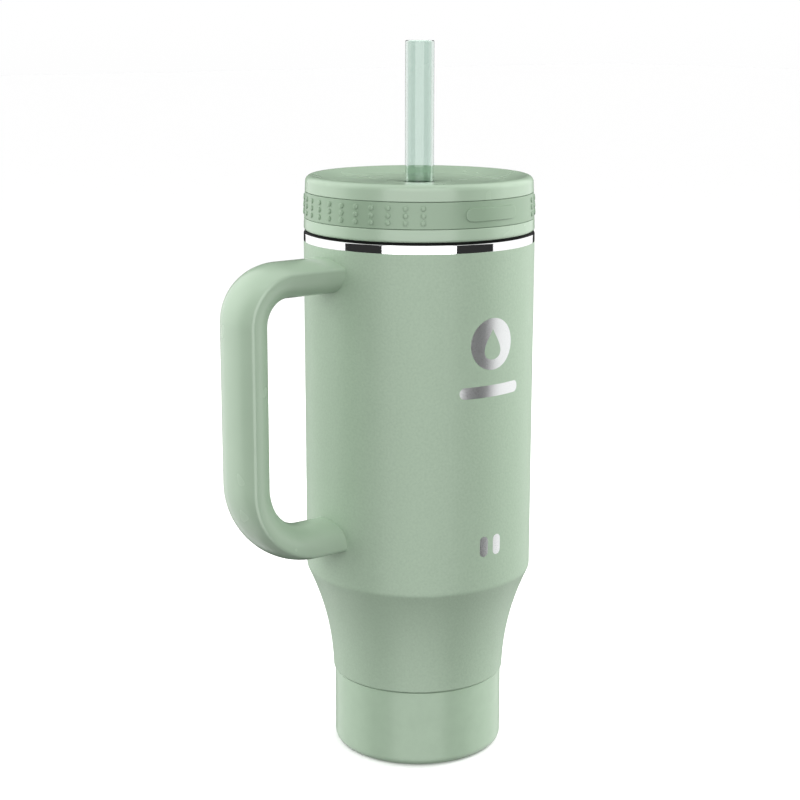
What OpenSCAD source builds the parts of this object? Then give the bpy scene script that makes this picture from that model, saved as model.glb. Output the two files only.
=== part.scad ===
// Insulated tumbler with a handle, a screw lid and a straw.
// Millimetres, +Z up, origin at the centre of the resting face.
// The handle stands along -X.

/* [Body] */
// Outside diameter of the painted body
body_d = 100.4; // [84:0.4:120]
// Height of the steel rim above the resting face
rim_z = 233.6; // [205:0.2:285]
// Height of the polished band under the rim
band_h = 3.7; // [2:0.1:6]
// Height of the crease where the waist begins
shoulder_z = 83.5; // [70:0.5:100]
// Rounding of the crease
shoulder_fillet = 4.2; // [1:0.1:8]
// Radius of the concave waist
waist_r = 118.7; // [60:0.1:200]
// Outside diameter at the lower end of the waist
neck_d = 76.9; // [72:0.1:80]
// Rounding of the rim
rim_fillet = 0.6; // [0.5:0.1:1.6]

/* [Walls] */
// Thickness of the outer steel wall
outer_wall = 0.5; // [0.3:0.1:1]
// Thickness of the inner steel wall
inner_wall = 0.5; // [0.3:0.1:1]
// Width of the vacuum space between the walls
vacuum_gap = 2.8; // [1.6:0.1:3.6]
// Height of the vacuum space under the inner floor
floor_gap = 6; // [4:0.1:10]
// Inside rounding of the inner floor
floor_fillet = 7.5; // [3:0.1:12]
// Thickness of the foil round the inner vessel
foil_t = 0.2; // [0.1:0.05:0.4]
// Radius of the port that the air is drawn out through
port_r = 2; // [1:0.1:4]
// Radius of the getter pill
getter_r = 5; // [3:0.1:8]
// Thickness of the getter pill
getter_t = 1.5; // [1:0.1:3]

/* [Boot] */
// Outside diameter of the boot
boot_d = 75.5; // [72:0.1:76]
// Height of the boot
boot_h = 34.55; // [26:0.05:42]
// Side wall of the boot
boot_wall = 2; // [1.2:0.1:3]
// Floor of the boot
boot_floor = 2.4; // [1.6:0.1:4]
// Rounding round the foot of the boot
boot_fillet = 3.5; // [1:0.1:4]
// Width of the seam between the boot and the waist
seam_gap = 0.3; // [0.1:0.05:0.6]

/* [Lid] */
// Thickness of the gasket between the rim and the lid
gasket_t = 0.9; // [0.8:0.1:2]
// How much wider the lid's lower edge is than the body, on the diameter
lid_proud = 0; // [0:0.1:2]
// Height of the lid above the gasket
lid_h = 23.5; // [20:0.1:30]
// Draft of the lid's side, in degrees
lid_draft = 2.24; // [0:0.01:4]
// Height of the lid's lower ring, up to the grip band
ring_h = 5.4; // [4:0.1:8]
// Height of the grip band
grip_h = 11.3; // [10:0.1:13]
// Rounding of the lid's top edge
lid_fillet = 2.7; // [1:0.1:3]
// Width of the flat land round the lid's top
land_w = 2.8; // [2.8:0.1:5]
// Radius of the floor of the dished top
dish_r = 37.5; // [24:0.1:40]
// Depth of the dished top
dish_depth = 2.5; // [1:0.1:4]
// Wall of the moulded lid parts
lid_wall = 2.2; // [1.6:0.1:3]
// Length of the plug below the lid's lower edge
plug_len = 20.5; // [18:0.1:30]

/* [Grip bumps] */
// Columns of bumps round the band
bump_columns = 35; // [17:1:61]
// Angle from the front to the first column on each side
bump_start = 36.1; // [20:0.1:60]
// Rows of bumps
bump_rows = 3; // [1:1:3]
// Distance between rows
bump_row_pitch = 3; // [2.6:0.1:3.6]
// Diameter of a bump at the band
bump_d = 2.3; // [1.4:0.1:2.6]
// Height of a bump
bump_h = 0.6; // [0.3:0.1:1]

/* [Thread] */
// Rise of the lid in one turn
thread_lead = 6; // [5:0.1:8]
// Depth of each thread
thread_depth = 1.3; // [0.8:0.1:1.6]
// Turns of thread
thread_turns = 1.25; // [0.75:0.25:1.5]
// Width of a thread at its root
thread_root = 2.4; // [1.6:0.1:2.4]
// Width of a thread at its crest
thread_crest = 1; // [0.6:0.1:1.2]
// Clearance between the threads
thread_fit = 0.35; // [0.2:0.05:0.5]

/* [Straw] */
// Outside diameter of the straw
straw_d = 12.4; // [8:0.1:13]
// Wall of the straw
straw_wall = 1.1; // [0.6:0.1:2]
// Length of the straw above the lid's rim
straw_proud = 56.8; // [20:0.1:90]
// Radius of the collar disc
collar_r = 13.9; // [12:0.1:18]
// Thickness of the collar disc
collar_t = 3; // [2:0.1:4]
// Length of the soft seal
seal_len = 8; // [5:0.1:10]
// Thickness of the soft seal
seal_t = 2.7; // [1.5:0.1:3]
// Length of the collar's stem
stem_len = 6.5; // [4:0.1:8]

/* [Handle] */
// Distance from the body to the crease of the grip
handle_reach = 44.1; // [36:0.05:60]
// Distance from the painted wall's top edge down to the upper arm's crease
arm_drop = 7.35; // [7:0.05:40]
// Height of the lower arm's crease
arm_low_z = 100.75; // [100:0.05:125]
// Width of the handle
handle_w = 25.6; // [20:0.1:30]
// Height of the crowned outer side
crown_h = 3.5; // [3.2:0.1:5]
// Depth of the rounded inner side
grip_depth = 11.44; // [9.5:0.02:13]
// Corner radius of the crease at the top
corner_top_r = 21.5; // [17:0.5:30]
// Corner radius of the crease at the bottom
corner_low_r = 32.4; // [17:0.1:34]
// Wall of the handle's inner side
handle_wall = 2.2; // [1.6:0.1:3]
// Squareness of the inner side, 2 for an ellipse
grip_power = 2.44; // [2:0.01:3]

/* [Brackets and screws] */
// Thickness of the welded saddle plate
plate_t = 1.2; // [0.8:0.1:2]
// Length of the tang that the screw goes into
tang_len = 13; // [11:0.1:18]
// Thickness of the tang
tang_t = 5; // [4:0.1:6]
// Width of the tang
tang_w = 10; // [8:0.1:12]
// Radius of the screw's shank
screw_r = 2; // [1.5:0.1:2.5]
// Radius of the screw's head
head_r = 3.4; // [3:0.1:4]
// Thickness of the screw's head
head_t = 1.6; // [1:0.1:2.2]

/* [Hidden] */
$fn = 96;

sage = [0.66, 0.74, 0.66];
sage_dark = [0.57, 0.66, 0.57];
steel = [0.86, 0.87, 0.88];
dull_steel = [0.55, 0.56, 0.58];

// Clearances
slip = 0.05;            // between pieces that fit closely
running = 0.05;         // between the straw and its seal
plug_clear = 0.3;       // between the plug and the thread's crest
stand_gap = 0.3;        // under the straw
plate_clear = 0.4;      // between a saddle plate and the arm's hollow
guide_clear = 0.7;      // between the straw and the sleeve's lower end
collar_play = 0.4;      // between the straw and the collar's hole
thread_embed = 0.3;     // how far a thread is sunk in its wall

// Body
body_r = body_d / 2;
neck_r = neck_d / 2;
paint_z = rim_z - band_h;
waist_z = boot_h + seam_gap;
foot_r = boot_d / 2 - boot_wall - slip;
base_z = boot_floor + slip;
base_recess = 2.6;
disc_z = base_z + base_recess;
cavity = outer_wall + vacuum_gap;
full_wall = cavity + inner_wall;
floor_under = disc_z + outer_wall + floor_gap;
floor_z = floor_under + inner_wall;
bore_r = body_r - full_wall;
foot_blend_up = 6;
foot_blend_down = 2;
button_t = 1.2;
foil_margin = 8;

// Centre of the waist's arc, from its two ends and its radius
waist_dr = neck_r - body_r;
waist_dz = waist_z - shoulder_z;
waist_chord = sqrt(waist_dr * waist_dr + waist_dz * waist_dz);
waist_offset = sqrt(waist_r * waist_r - waist_chord * waist_chord / 4);
waist_cr = (body_r + neck_r) / 2 - waist_dz / waist_chord * waist_offset;
waist_cz = (shoulder_z + waist_z) / 2 + waist_dr / waist_chord * waist_offset;

// Lid
straw_r = straw_d / 2;
lid_z = rim_z + gasket_t;
lid_top_z = lid_z + lid_h;
lid_r0 = (body_d + lid_proud) / 2;
grip_z0 = lid_z + ring_h;
grip_z1 = grip_z0 + grip_h;
lid_edge = 1.3;
band_gap = 0.15;
bump_root = 1;
core_inset = 3;
core_r = body_r - core_inset;
dish_z = lid_top_z - dish_depth;
plug_r = bore_r - thread_depth - plug_clear;
plug_z = lid_z - plug_len;
sleeve_r = straw_r + running + seal_t + slip;
sleeve_wall = 2;
roof_drop = 0.3;
pocket_z = dish_z - collar_t;
seal_ledge_z = pocket_z - stem_len - seal_len;
gasket_margin = 0.4;

// Thread: the cup's starts above the plug's end, the lid's lies under it
thread_rows = 48;
thread_inset = 3.4;
thread_z = plug_z + thread_inset;
thread_drop = (thread_root + thread_crest) / 2 + thread_fit;

// Straw
straw_z0 = floor_z + stand_gap;
straw_z1 = lid_top_z + straw_proud;

// Handle
crease_x = body_r + handle_reach;
half_w = handle_w / 2;
crown_r = (half_w * half_w + crown_h * crown_h) / (2 * crown_h);
crown_half = asin(half_w / crown_r);
arm_top_z = paint_z - arm_drop;
screw_reach = 7.5;
screw_x = body_r + screw_reach;
boss_r = 4.6;
tang_mid = (grip_depth - handle_wall) / 2;
tang_top_z = arm_top_z - tang_mid - tang_t / 2;
tang_low_z = arm_low_z + tang_mid - tang_t / 2;
head_sink = 0.4;

function arc(cx, cz, r, a0, a1, n) =
    [for (i = [0:n]) let (a = a0 + (a1 - a0) * i / n) [cx + r * cos(a), cz + r * sin(a)]];
function reverse(list) = [for (i = [len(list) - 1:-1:0]) list[i]];
function lid_r(z) = lid_r0 - (z - lid_z) * tan(lid_draft);

// Radius of the waist's arc at height z, for a wall set in by t
function waist_at(z, t) = waist_cr - sqrt(pow(waist_r + t, 2) - pow(z - waist_cz, 2));

// Outline of a body wall set in by t, from top_z down to end_z
function wall(t, top_z, end_z) =
    let (r = body_r - t,
        arc_r = waist_r + t,
        crease = acos((waist_cr - r) / arc_r),
        crease_z = waist_cz + arc_r * sin(crease),
        fillet = max(shoulder_fillet - t, 0.5),
        run = fillet * tan(crease / 2),
        start = crease - run / arc_r * 180 / PI,
        end = asin((end_z - waist_cz) / arc_r))
    concat([[r, top_z]],
        arc(r - fillet, crease_z + run, fillet, 0, -crease, 6),
        [for (i = [1:16]) let (a = start + (end - start) * i / 16)
            [waist_cr - arc_r * cos(a), waist_cz + arc_r * sin(a)]]);

// Outline of the inner vessel's wall set in by t, down to its floor at bottom_z
function vessel(t, top_z, bottom_z, corner) =
    let (r = foot_r - t)
    concat(wall(t, top_z, waist_z + foot_blend_up),
        [[r, waist_z - foot_blend_down]],
        arc(r - corner, bottom_z + corner, corner, 0, -90, 8),
        [[0, bottom_z]]);

// A ridge with a trapezoid section that climbs a right-hand helix.
// side is -1 for a ridge that points inwards and 1 for outwards.
module thread(root_r, side, z0) {
    steps = round(thread_turns * thread_rows);
    ring = [for (i = [0:steps])
        let (a = 360 * i / thread_rows,
            z = z0 + thread_lead * i / thread_rows,
            inner = root_r - side * thread_embed,
            crest = root_r + side * thread_depth)
        [[inner, z - thread_root / 2, a], [crest, z - thread_crest / 2, a],
            [crest, z + thread_crest / 2, a], [inner, z + thread_root / 2, a]]];
    points = [for (row = ring) for (p = row) [p[0] * cos(p[2]), p[0] * sin(p[2]), p[1]]];
    sides = [for (i = [0:steps - 1]) for (j = [0:3])
        let (a = 4 * i + j, b = 4 * i + (j + 1) % 4)
        each [[a, b, b + 4], [a, b + 4, a + 4]]];
    last = 4 * steps;
    ends = [[0, 3, 2], [0, 2, 1], [last, last + 1, last + 2], [last, last + 2, last + 3]];
    faces = concat(sides, ends);
    polyhedron(points, side < 0 ? [for (f = faces) reverse(f)] : faces);
}

module inner_vessel() {
    skirt_r = body_r - outer_wall;
    outside = vessel(cavity, rim_z - inner_wall, floor_under, floor_fillet + inner_wall);
    inside = vessel(full_wall, rim_z, floor_z, floor_fillet);
    lip = concat([[body_r, paint_z]],
        arc(body_r - rim_fillet, rim_z - rim_fillet, rim_fillet, 0, 90, 6));
    color(steel) {
        union() {
            rotate_extrude()
                polygon(concat(lip, inside, reverse(outside),
                    [[skirt_r, rim_z - inner_wall], [skirt_r, paint_z]]));
            thread(bore_r, -1, thread_z);
        }
    }
}

module outer_shell() {
    outside = wall(0, paint_z, waist_z);
    inside = wall(outer_wall, paint_z, waist_z + outer_wall);
    foot = [[foot_r, waist_z], [foot_r, base_z], [foot_r - outer_wall, base_z],
        [foot_r - outer_wall, waist_z + outer_wall]];
    color(sage) rotate_extrude() polygon(concat(outside, foot, reverse(inside)));
}

module shell_base() {
    r = foot_r - outer_wall;
    color(dull_steel) rotate_extrude() polygon([
        [port_r, disc_z], [r - outer_wall, disc_z], [r - outer_wall, base_z], [r, base_z],
        [r, disc_z + outer_wall], [port_r, disc_z + outer_wall]]);
}

module vacuum_seal() {
    color(dull_steel) rotate_extrude() polygon([
        [0, disc_z - button_t], [2 * port_r, disc_z - button_t], [2 * port_r, disc_z],
        [port_r - slip, disc_z], [port_r - slip, disc_z + outer_wall], [0, disc_z + outer_wall]]);
}

module getter() {
    color([0.3, 0.3, 0.32]) translate([0, 0, floor_under - getter_t]) cylinder(r = getter_r, h = getter_t);
}

module radiation_shield() {
    low = shoulder_z + foil_margin;
    inner = body_r - cavity;
    color([0.8, 0.5, 0.35]) rotate_extrude()
        translate([inner, low]) square([foil_t, plug_z - low]);
}

module base_boot() {
    r = boot_d / 2;
    top_round = 0.4;
    groove_w = 1.2;
    groove_depth = 0.5;
    color(sage) difference() {
        rotate_extrude() polygon(concat([[0, 0]],
            arc(r - boot_fillet, boot_fillet, boot_fillet, -90, 0, 8),
            arc(r - top_round, boot_h - top_round, top_round, 0, 90, 4),
            [[r - boot_wall, boot_h], [r - boot_wall, boot_floor], [0, boot_floor]]));
        for (ring_r = [boot_d / 3, boot_d / 3 + 2.4, boot_d / 3 + 4.8])
            rotate_extrude() translate([ring_r, -groove_depth]) square([groove_w, 2 * groove_depth]);
    }
}

// A saddle plate on the body, as large as the arm's hollow lets it be, with a tang for the screw.
// crease_z is the arm's crease, up is 1 where the arm's crowned side faces up and -1 where it faces down.
module bracket(crease_z, up, tang_z) {
    color(dull_steel) difference() {
        union() {
            intersection() {
                translate([0, 0, crease_z]) rotate([90, 0, 90]) translate([0, 0, -body_r - plate_t])
                    linear_extrude(body_r) rotate(up * 90) translate([-plate_clear, 0])
                        grip_section(handle_wall + plate_clear);
                translate([0, 0, crease_z - grip_depth]) difference() {
                    cylinder(r = body_r + plate_t, h = 2 * grip_depth);
                    translate([0, 0, -1]) cylinder(r = body_r, h = 2 * grip_depth + 2);
                }
            }
            translate([-body_r - tang_len, -tang_w / 2, tang_z])
                cube([tang_len - plate_t / 2, tang_w, tang_t]);
        }
        translate([-screw_x, 0, tang_z - 1]) cylinder(r = screw_r, h = tang_t + 2);
    }
}

module upper_bracket() bracket(arm_top_z, 1, tang_top_z);
module lower_bracket() bracket(arm_low_z, -1, tang_low_z);

// Section of the crowned side: x is outwards from the crease, y across the handle
module crown_section() {
    polygon(arc(crown_h - crown_r, 0, crown_r, -crown_half, crown_half, 14));
}

// Section of the rounded side, a superellipse half set in by t
module grip_section(t) {
    w = half_w - t;
    d = grip_depth - t;
    e = 2 / grip_power;
    polygon([for (i = [0:20]) let (a = -90 + 9 * i)
        [-d * pow(cos(a), e), w * sign(a) * pow(abs(sin(a)), e)]]);
}

// Carries a section along the handle, from inside the body out, down and back in
module along_handle() {
    low_z = arm_low_z + corner_low_r;
    top_z = arm_top_z - corner_top_r;
    arm_start = body_r / 2;
    translate([-crease_x, 0, low_z]) linear_extrude(top_z - low_z) rotate(180) children();
    translate([corner_top_r - crease_x, 0, top_z]) rotate([90, 0, 0]) rotate([0, 0, 90])
        rotate_extrude(angle = 90) translate([corner_top_r, 0]) children();
    translate([corner_low_r - crease_x, 0, low_z]) rotate([90, 0, 0]) rotate([0, 0, 180])
        rotate_extrude(angle = 90) translate([corner_low_r, 0]) children();
    translate([corner_top_r - crease_x, 0, arm_top_z]) rotate([90, 0, 90])
        linear_extrude(crease_x - corner_top_r - arm_start) rotate(90) children();
    translate([corner_low_r - crease_x, 0, arm_low_z]) rotate([90, 0, 90])
        linear_extrude(crease_x - corner_low_r - arm_start) rotate(-90) children();
}

module body_cut() {
    cylinder(r = body_r + slip, h = rim_z);
}

module handle_outer() {
    seat_z = arm_low_z - crown_h + head_sink + head_t;
    color(sage) difference() {
        union() {
            along_handle() crown_section();
            translate([-screw_x, 0, seat_z]) cylinder(r = boss_r, h = tang_low_z - seat_z);
        }
        body_cut();
        translate([-screw_x, 0, 0]) {
            cylinder(r = head_r + slip, h = seat_z);
            cylinder(r = screw_r + slip, h = tang_low_z + 1);
        }
    }
}

module handle_inner() {
    skin_z = arm_top_z - grip_depth;
    seat_z = skin_z + head_sink + head_t;
    color(sage_dark) difference() {
        union() {
            difference() {
                along_handle() grip_section(0);
                along_handle() grip_section(handle_wall);
            }
            translate([-screw_x, 0, skin_z + head_sink])
                cylinder(r = boss_r, h = tang_top_z - skin_z - head_sink);
        }
        body_cut();
        translate([-screw_x, 0, skin_z - 1]) {
            cylinder(r = head_r + slip, h = seat_z - skin_z + 1);
            cylinder(r = screw_r + slip, h = tang_top_z - skin_z + 2);
        }
    }
}

module screw(head_z, tang_z) {
    translate([-screw_x, 0, head_z]) {
        cylinder(r = head_r, h = head_t);
        cylinder(r = screw_r - slip, h = tang_z + tang_t - head_z);
    }
}

module handle_screws() {
    color(dull_steel) {
        screw(arm_top_z - grip_depth + head_sink, tang_top_z);
        screw(arm_low_z - crown_h + head_sink, tang_low_z);
    }
}

module lid_body() {
    ring = concat([[plug_r, lid_z]],
        arc(lid_r0 - lid_edge, lid_z + lid_edge, lid_edge, -90, 0, 6),
        [[lid_r(grip_z0), grip_z0], [core_r, grip_z0], [core_r, grip_z1],
            [core_r - lid_wall, grip_z1], [core_r - lid_wall, lid_z + lid_wall],
            [plug_r - lid_wall, lid_z + lid_wall], [plug_r - lid_wall, plug_z], [plug_r, plug_z]]);
    color(sage) union() {
        rotate_extrude() polygon(ring);
        thread(plug_r, 1, thread_z - thread_drop);
    }
}

module lid_cap() {
    inner = core_r - lid_wall;
    rim_r = lid_r(lid_top_z);
    out_r = sleeve_r + sleeve_wall;
    guide_r = straw_r + guide_clear;
    profile = concat([[lid_r(grip_z1), grip_z1]],
        arc(rim_r - lid_fillet, lid_top_z - lid_fillet, lid_fillet, 0, 90, 8),
        [[rim_r - land_w, lid_top_z], [dish_r, dish_z], [collar_r + slip, dish_z],
            [collar_r + slip, pocket_z], [sleeve_r, pocket_z], [sleeve_r, seal_ledge_z],
            [guide_r, seal_ledge_z], [guide_r, plug_z], [out_r, plug_z],
            [out_r, pocket_z - lid_wall], [collar_r + lid_wall, pocket_z - lid_wall],
            [collar_r + lid_wall, dish_z - lid_wall], [dish_r, dish_z - lid_wall],
            [inner, dish_z - roof_drop], [inner, grip_z1]]);
    color(sage) rotate_extrude() polygon(profile);
}

module grip_band() {
    z0 = grip_z0 + band_gap;
    z1 = grip_z1 - band_gap;
    mid = (grip_z0 + grip_z1) / 2;
    step = (360 - 2 * bump_start) / (bump_columns - 1);
    color(sage_dark) union() {
        rotate_extrude() polygon([[core_r, z0], [lid_r(z0), z0], [lid_r(z1), z1], [core_r, z1]]);
        for (i = [0:bump_columns - 1]) for (row = [0:bump_rows - 1]) {
            z = mid + (row - (bump_rows - 1) / 2) * bump_row_pitch;
            rotate([0, 0, bump_start + i * step - 90]) translate([core_r + bump_root, 0, z])
                rotate([0, 90, 0]) cylinder(r = bump_d / 2, h = lid_r(z) + bump_h - core_r - bump_root);
        }
    }
}

module lid_liner() {
    color(sage_dark) rotate_extrude() polygon([
        [sleeve_r + sleeve_wall, plug_z], [plug_r - lid_wall, plug_z],
        [plug_r - lid_wall, plug_z + lid_wall], [sleeve_r + sleeve_wall, plug_z + lid_wall]]);
}

module lid_gasket() {
    color([0.05, 0.05, 0.05]) rotate_extrude()
        translate([bore_r + gasket_margin, rim_z]) square([full_wall - 2 * gasket_margin, gasket_t]);
}

module straw_collar() {
    dimple_r = collar_r - 3;
    dimple = 0.6;
    hole_r = straw_r + collar_play;
    color(sage) rotate_extrude() polygon([
        [hole_r, dish_z - dimple], [dimple_r, dish_z], [collar_r, dish_z], [collar_r, pocket_z],
        [sleeve_r - slip, pocket_z], [sleeve_r - slip, seal_ledge_z + seal_len],
        [hole_r, seal_ledge_z + seal_len]]);
}

module straw_seal() {
    color([0.75, 0.8, 0.75]) rotate_extrude() translate([straw_r + running, seal_ledge_z])
        square([sleeve_r - slip - straw_r - running, seal_len]);
}

module straw() {
    color([0.75, 0.9, 0.82, 0.5]) translate([0, 0, straw_z0]) difference() {
        cylinder(r = straw_r, h = straw_z1 - straw_z0);
        translate([0, 0, -1]) cylinder(r = straw_r - straw_wall, h = straw_z1 - straw_z0 + 2);
    }
}

inner_vessel();
outer_shell();
shell_base();
vacuum_seal();
getter();
radiation_shield();
base_boot();
upper_bracket();
lower_bracket();
handle_outer();
handle_inner();
handle_screws();
lid_body();
lid_cap();
grip_band();
lid_liner();
lid_gasket();
straw_collar();
straw_seal();
straw();
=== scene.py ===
"""Looks of an insulated tumbler with a handle, a twist-off lid and a straw.

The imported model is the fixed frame. Each sub-assembly is a class that builds the pieces
that are seen and dresses the rest. Lengths in the classes are millimetres; meshes are metres.
"""

import logging
from dataclasses import dataclass
from enum import Enum
from math import acos, asin, cos, pi, radians, sin, sqrt, tan

import bmesh
import bpy
import numpy as np
from mathutils import Matrix, Vector


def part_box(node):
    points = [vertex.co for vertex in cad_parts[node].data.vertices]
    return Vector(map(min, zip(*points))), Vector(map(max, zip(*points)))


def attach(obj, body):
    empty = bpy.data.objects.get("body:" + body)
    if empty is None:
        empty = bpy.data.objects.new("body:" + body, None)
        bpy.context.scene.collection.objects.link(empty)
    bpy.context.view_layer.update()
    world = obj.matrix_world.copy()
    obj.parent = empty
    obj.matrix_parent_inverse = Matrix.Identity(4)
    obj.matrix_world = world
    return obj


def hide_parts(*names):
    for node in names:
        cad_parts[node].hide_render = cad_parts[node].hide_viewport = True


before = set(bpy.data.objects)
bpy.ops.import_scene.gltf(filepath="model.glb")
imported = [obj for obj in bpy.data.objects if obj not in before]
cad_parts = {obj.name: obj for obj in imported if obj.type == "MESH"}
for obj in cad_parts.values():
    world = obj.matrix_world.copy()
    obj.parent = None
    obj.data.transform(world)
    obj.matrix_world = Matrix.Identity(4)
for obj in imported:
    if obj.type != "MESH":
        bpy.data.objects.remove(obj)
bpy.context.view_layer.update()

MM = 0.001
SHARP = 32.0  # degrees between faces from which an edge is drawn sharp
WELD = 2e-7  # metres within which two points are one
log = logging.getLogger("tumbler")
Tree, Node, Socket = bpy.types.NodeTree, bpy.types.Node, bpy.types.NodeSocket


# ---------------------------------------------------------------- measures from the frame


def span(node: str) -> tuple[np.ndarray, np.ndarray]:
    """Lowest and highest corner of a CAD node, in millimetres.

    Args:
        node: the CAD node's name.
    Returns:
        Two arrays of x, y and z.
    """
    low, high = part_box(node)
    return np.array(low) / MM, np.array(high) / MM


# ---------------------------------------------------------------- outlines


def arc(centre: tuple[float, float], radius: float, start: float, end: float, steps: int) -> np.ndarray:
    """Points on a circle: centre plus radius times the cosine and sine of evenly spaced angles.

    Args:
        centre: the circle's middle.
        radius: its radius.
        start: first angle in degrees.
        end: last angle in degrees.
        steps: intervals between the two.
    Returns:
        An array of steps + 1 points.
    """
    angle = np.radians(np.linspace(start, end, steps + 1))
    return np.stack([centre[0] + radius * np.cos(angle), centre[1] + radius * np.sin(angle)], 1)


def rounded(corners: list[tuple[float, float, float]], closed: bool = True, steps: int = 7) -> np.ndarray:
    """An outline through corners, each with its own fillet.

    At a corner with half angle h between its two sides, a fillet of radius r starts r / tan h
    from the corner, and its middle lies r / sin h along the line that halves the angle.

    Args:
        corners: (across, up, fillet radius) of each corner, in order.
        closed: whether the last corner joins the first.
        steps: intervals in each fillet.
    Returns:
        The outline's points, without repeats.
    """
    data = np.array(corners, float)
    here, radius = data[:, :2], data[:, 2]
    back = np.roll(here, 1, 0) - here
    ahead = np.roll(here, -1, 0) - here
    if not closed:
        radius[[0, -1]] = 0
        back[0], ahead[-1] = -ahead[0], -back[-1]
    back /= np.linalg.norm(back, axis=1)[:, None]
    ahead /= np.linalg.norm(ahead, axis=1)[:, None]
    middle = back + ahead
    size = np.linalg.norm(middle, axis=1)
    straight = size < 1e-6
    middle = middle / np.where(straight, 1, size)[:, None]
    half = np.arccos(np.clip((back * ahead).sum(1), -1, 1)) / 2
    radius = np.where(straight, 0, radius)
    centre = here + middle * (radius / np.sin(half))[:, None]
    first = back * (radius / np.tan(half))[:, None] + here - centre
    last = ahead * (radius / np.tan(half))[:, None] + here - centre
    turn = np.pi - 2 * half
    t = np.linspace(0, 1, steps + 1)
    safe = np.where(turn < 1e-6, 1, turn)
    a = np.sin((1 - t) * safe[:, None]) / np.sin(safe)[:, None]
    b = np.sin(t * safe[:, None]) / np.sin(safe)[:, None]
    fillet = centre[:, None] + a[..., None] * first[:, None] + b[..., None] * last[:, None]
    return without_repeats(fillet.reshape(-1, 2), closed)


def box_outline(left: float, right: float, low: float, high: float, fillet: float) -> np.ndarray:
    """The outline of a rectangle whose four corners have the same fillet."""
    return rounded([(left, low, fillet), (right, low, fillet), (right, high, fillet), (left, high, fillet)])


def without_repeats(points: np.ndarray, closed: bool) -> np.ndarray:
    """The points, less each one that lies on the one before it."""
    step = np.linalg.norm(points - np.roll(points, 1, 0), axis=1)
    keep = step > 1e-5
    if not closed:
        keep[0] = True
    return points[keep]


def supported(outline: np.ndarray, closed: bool = True, longest: float = 3.0,
              reach: float = 0.12) -> np.ndarray:
    """The outline with more points along its straight runs.

    Stations are the lengths along the outline of its own points, a point just inside each end
    of every long run, which keeps the shading of a fillet off the run, and an even spacing.

    Args:
        outline: the points, in millimetres.
        closed: whether the last point joins the first.
        longest: the even spacing.
        reach: distance of the extra points from the ends of a run.
    Returns:
        The denser outline.
    """
    loop = np.vstack([outline, outline[:1]]) if closed else outline
    length = np.linalg.norm(np.diff(loop, axis=0), axis=1)
    at = np.concatenate([[0], np.cumsum(length)])
    long = length > 5 * reach
    even = np.arange(longest, at[-1], longest)
    gap = np.abs(even[:, None] - at[None]).min(1)
    stations = np.concatenate([at, at[:-1][long] + reach, at[1:][long] - reach, even[gap > 2 * reach]])
    stations = np.unique(np.round(stations, 6))
    if closed:
        stations = stations[stations < at[-1] - 1e-4]
    return np.stack([np.interp(stations, at, loop[:, 0]), np.interp(stations, at, loop[:, 1])], 1)


# ---------------------------------------------------------------- surfaces


@dataclass
class Mesh:
    """Vertices in millimetres and faces that point into them, as whole arrays."""

    points: np.ndarray
    quads: np.ndarray

    def __add__(self, other: "Mesh") -> "Mesh":
        """Both meshes as one."""
        return Mesh(np.vstack([self.points, other.points]),
                    np.vstack([self.quads, other.quads + len(self.points)]))


def grid_faces(rows: int, columns: int, wrap_rows: bool, wrap_columns: bool) -> np.ndarray:
    """Quads of a grid whose vertex in row i and column j is number i * columns + j.

    Args:
        rows: rows of vertices.
        columns: vertices in a row.
        wrap_rows: whether the last row joins the first.
        wrap_columns: whether the last column joins the first.
    Returns:
        An array of four vertex numbers a face.
    """
    i = np.arange(rows if wrap_rows else rows - 1)[:, None]
    j = np.arange(columns if wrap_columns else columns - 1)[None]
    k, m = (i + 1) % rows, (j + 1) % columns
    corners = [i * columns + j, i * columns + m, k * columns + m, k * columns + j]
    return np.stack([np.broadcast_to(c, np.broadcast(i, j).shape).ravel() for c in corners], 1)


def lathe(outline: np.ndarray, closed: bool = True, around: int = 256) -> Mesh:
    """A turned surface: each outline point (r, z) goes to (r cos a, r sin a, z) for every angle a.

    Args:
        outline: radius and height of each point.
        closed: whether the outline is a loop; an open one ends on the axis.
        around: steps in the turn.
    Returns:
        The turned mesh.
    """
    angle = np.linspace(0, 2 * np.pi, around, endpoint=False)
    r, z = outline[:, 0][:, None], outline[:, 1][:, None]
    points = np.stack([r * np.cos(angle), r * np.sin(angle), np.broadcast_to(z, (len(outline), around))], -1)
    return Mesh(points.reshape(-1, 3), grid_faces(len(outline), around, closed, True))


def capped_sweep(sections: np.ndarray) -> Mesh:
    """A bar from closed sections: a grid along it, and strips between the two halves of each end.

    Args:
        sections: (stations, 2 m, 3) points; in each section point j of the first half faces
            point 2 m - 1 - j of the second half.
    Returns:
        The closed mesh.
    """
    stations, count, _ = sections.shape
    j = np.arange(count // 2 - 1)
    end = np.stack([j, j + 1, count - 2 - j, count - 1 - j], 1)
    sides = grid_faces(stations, count, False, True)
    return Mesh(sections.reshape(-1, 3), np.vstack([sides, end, end[:, ::-1] + (stations - 1) * count]))


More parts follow.
